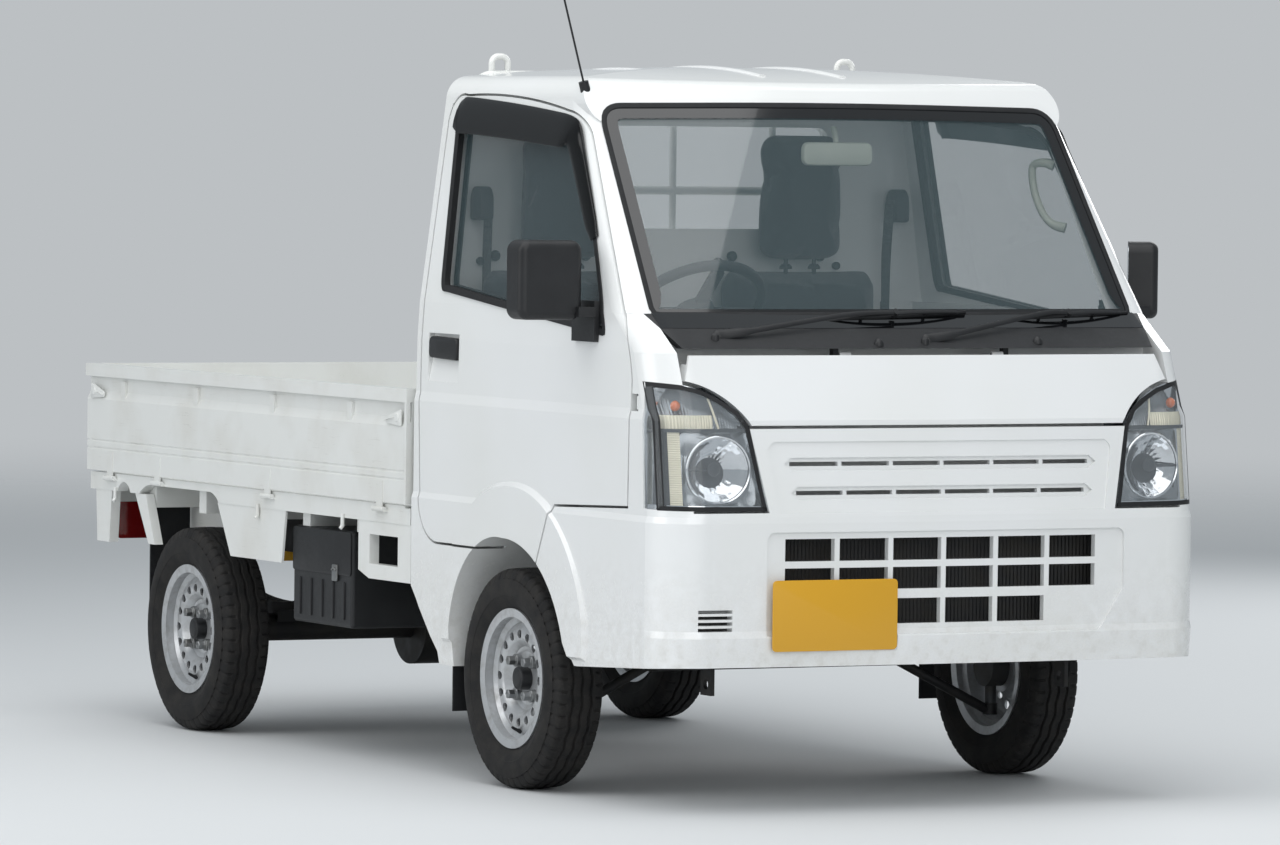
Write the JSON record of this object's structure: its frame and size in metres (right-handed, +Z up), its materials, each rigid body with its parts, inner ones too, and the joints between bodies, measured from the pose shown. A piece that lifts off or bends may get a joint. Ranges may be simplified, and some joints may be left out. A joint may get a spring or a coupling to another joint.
{
  "type": "kei truck",
  "caption": "Two-seat cab-over light truck with a flat drop-side cargo bed, opening doors, front service lid, drop gates, steering and turning wheels.",
  "frame": {"origin": "on the ground, under the middle of the truck's box, on its centre plane", "axes": "+Z up, -Y towards the front of the truck, +X towards its left side"},
  "size_m": [1.829, 3.395, 2.0012],
  "materials": {
    "white_paint": "white baked enamel, gloss",
    "glass": "lightly green toughened glass",
    "black_plastic": "textured black polypropylene",
    "tyre": "dull black rubber",
    "wheel_steel": "silver painted pressed steel",
    "chassis_black": "black chassis paint, dusty",
    "cast_metal": "cast metal, oily",
    "lamp_body": "bright vapour-plated reflector",
    "lamp_cover": "clear polycarbonate",
    "tail_lens": "red acrylic",
    "dash_plastic": "grained dark grey polypropylene",
    "seat_fabric": "dark grey woven seat cloth",
    "rubber": "black rubber sheet"
  },
  "bodies": {
    "chassis": {"cab_sides": "white_paint", "cab_roof": "white_paint", "cab_back": "white_paint", "cab_floor": "white_paint", "cab_glass": "glass", "cowl_panel": "black_plastic", "grille_panel": "white_paint", "headlamps": "lamp_body", "headlamp_covers": "lamp_cover", "front_bumper": "white_paint", "dashboard": "dash_plastic", "seats": "seat_fabric", "bed_floor": "white_paint", "guard_frame": "white_paint", "bed_brackets": "white_paint", "chassis_frame": "chassis_black", "engine_block": "cast_metal", "side_boxes": "black_plastic", "mudflaps": "rubber", "tail_lamps": "tail_lens", "rear_axle": "chassis_black", "front_suspension": "chassis_black", "wipers": "black_plastic", "aerial": "black_plastic"},
    "door_right": {"door_right": "white_paint", "door_glass_right": "glass", "door_mirror_right": "black_plastic"},
    "door_left": {"door_left": "white_paint", "door_glass_left": "glass", "door_mirror_left": "black_plastic"},
    "hood": {"hood": "white_paint"},
    "side_gate_right": {"side_gate_right": "white_paint"},
    "side_gate_left": {"side_gate_left": "white_paint"},
    "tailgate": {"tailgate": "white_paint"},
    "knuckle_right": {"knuckle_right": "cast_metal"},
    "knuckle_left": {"knuckle_left": "cast_metal"},
    "wheel_front_right": {"tyre_front_right": "tyre", "rim_front_right": "wheel_steel"},
    "wheel_front_left": {"tyre_front_left": "tyre", "rim_front_left": "wheel_steel"},
    "wheel_rear_right": {"tyre_rear_right": "tyre", "rim_rear_right": "wheel_steel"},
    "wheel_rear_left": {"tyre_rear_left": "tyre", "rim_rear_left": "wheel_steel"},
    "steering_wheel": {"steering_wheel": "dash_plastic"}
  },
  "joints": [
    {"name": "steer_right", "type": "hinge", "parent": "chassis", "child": "knuckle_right", "pos_m": [-0.612, -0.842, 0.265], "axis": [0, 0, 1], "range_deg": [-35, 35]},
    {"name": "steer_left", "type": "hinge", "parent": "chassis", "child": "knuckle_left", "pos_m": [0.612, -0.842, 0.265], "axis": [0, 0, 1], "range_deg": [-35, 35]},
    {"name": "steering_wheel_turn", "type": "hinge", "parent": "chassis", "child": "steering_wheel", "pos_m": [-0.315, -1.0005, 1.15], "axis": [0, 0.6428, 0.766], "range_deg": [-560, 560]},
    {"name": "front_right_spin", "type": "hinge", "parent": "knuckle_right", "child": "wheel_front_right", "pos_m": [-0.6525, -0.842, 0.265], "axis": [1, 0, 0], "continuous": true},
    {"name": "front_left_spin", "type": "hinge", "parent": "knuckle_left", "child": "wheel_front_left", "pos_m": [0.6525, -0.842, 0.265], "axis": [1, 0, 0], "continuous": true},
    {"name": "rear_right_spin", "type": "hinge", "parent": "chassis", "child": "wheel_rear_right", "pos_m": [-0.6525, 1.063, 0.265], "axis": [1, 0, 0], "continuous": true},
    {"name": "rear_left_spin", "type": "hinge", "parent": "chassis", "child": "wheel_rear_left", "pos_m": [0.6525, 1.063, 0.265], "axis": [1, 0, 0], "continuous": true},
    {"name": "door_right_hinge", "type": "hinge", "parent": "chassis", "child": "door_right", "pos_m": [-0.7135, -1.5025, 0.8], "axis": [0, 0, 1], "range_deg": [0, 65]},
    {"name": "door_left_hinge", "type": "hinge", "parent": "chassis", "child": "door_left", "pos_m": [0.7135, -1.5025, 0.8], "axis": [0, 0, -1], "range_deg": [0, 65]},
    {"name": "hood_hinge", "type": "hinge", "parent": "chassis", "child": "hood", "pos_m": [0, -1.5575, 1.06], "axis": [-1, 0, 0], "range_deg": [0, 55]},
    {"name": "side_gate_right_hinge", "type": "hinge", "parent": "chassis", "child": "side_gate_right", "pos_m": [-0.731, 0.7, 0.637], "axis": [0, -1, 0], "range_deg": [0, 170]},
    {"name": "side_gate_left_hinge", "type": "hinge", "parent": "chassis", "child": "side_gate_left", "pos_m": [0.731, 0.7, 0.637], "axis": [0, 1, 0], "range_deg": [0, 170]},
    {"name": "tailgate_hinge", "type": "hinge", "parent": "chassis", "child": "tailgate", "pos_m": [0, 1.691, 0.637], "axis": [-1, 0, 0], "range_deg": [0, 170]}
  ],
  "couplings": [
    {"joint": "steer_left", "follows": "steer_right", "ratio": 1},
    {"joint": "steering_wheel_turn", "follows": "steer_right", "ratio": 16}
  ]
}
